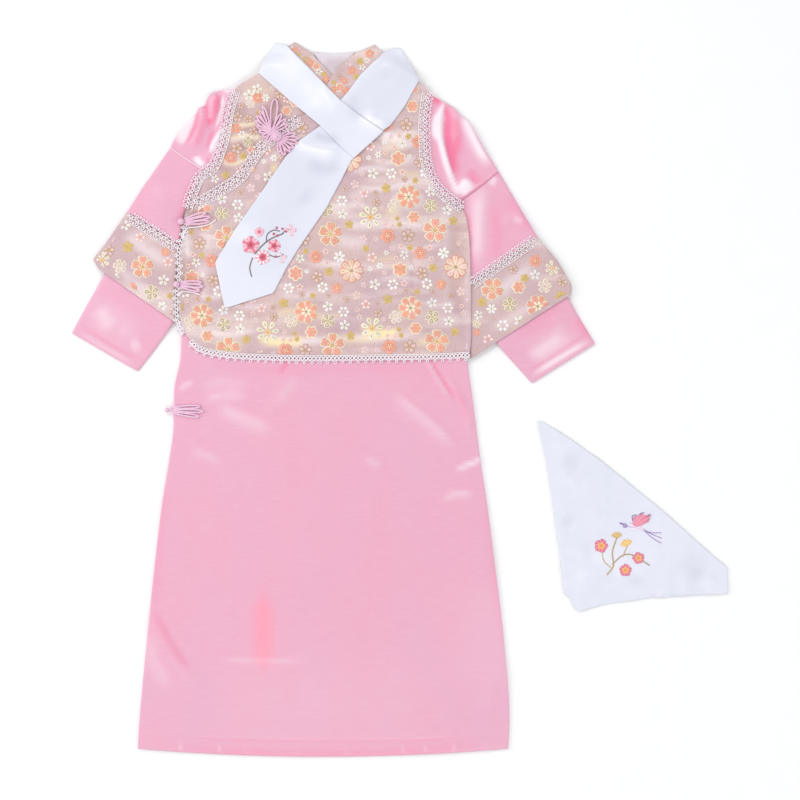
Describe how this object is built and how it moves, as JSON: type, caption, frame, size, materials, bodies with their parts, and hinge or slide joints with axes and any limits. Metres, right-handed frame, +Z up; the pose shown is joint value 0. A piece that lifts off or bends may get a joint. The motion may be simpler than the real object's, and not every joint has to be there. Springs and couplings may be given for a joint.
{
  "type": "child's manchu style hanfu set laid flat",
  "caption": "Child's Manchu style hanfu laid flat: long satin robe, lace trimmed brocade vest, crossed white scarf and a handkerchief beside it.",
  "frame": {"origin": "middle of the underside of the set's bounding box, on the surface that it lies on", "axes": "+Y from the hem to the neck, +X to the viewer's right with the neck away from them, +Z up out of the front of the garment"},
  "size_m": [0.755, 0.821, 0.0202],
  "materials": {
    "pink_satin": "satin weave, soft gloss",
    "brocade": "woven flowers with metallic gold thread",
    "lining": "plain",
    "white_satin": "satin weave, soft gloss, embroidered",
    "white_lace": "picot lace",
    "lilac_cord": "satin cord"
  },
  "bodies": {
    "root": {"scarf_neck": "white_satin", "vest_back": "brocade", "robe_back": "pink_satin", "robe_front": "pink_satin", "robe_sleeve_left": "pink_satin", "sleeve_band_left": "brocade", "cuff_left": "pink_satin", "robe_sleeve_right": "pink_satin", "sleeve_band_right": "brocade", "cuff_right": "pink_satin", "band_lace_left": "white_lace", "band_lace_right": "white_lace", "vest_front_under": "brocade", "vest_front": "brocade", "collar_back": "lining", "collar_front_left": "brocade", "collar_front_right": "brocade", "lace_armhole_left": "white_lace", "lace_armhole_right": "white_lace", "lace_closure": "white_lace", "lace_side": "white_lace", "lace_hem": "white_lace", "frog_chest_loops": "lilac_cord", "frog_chest_knot_loops": "lilac_cord", "frog_armpit_loops": "lilac_cord", "frog_side_loops": "lilac_cord", "robe_frog_loops": "lilac_cord", "frog_chest_knot": "lilac_cord", "frog_armpit_knot": "lilac_cord", "frog_side_knot": "lilac_cord", "robe_frog_knot": "lilac_cord", "scarf_right": "white_satin", "scarf_tail": "white_satin", "scarf_left": "white_satin", "handkerchief": "white_satin"}
  },
  "joints": []
}
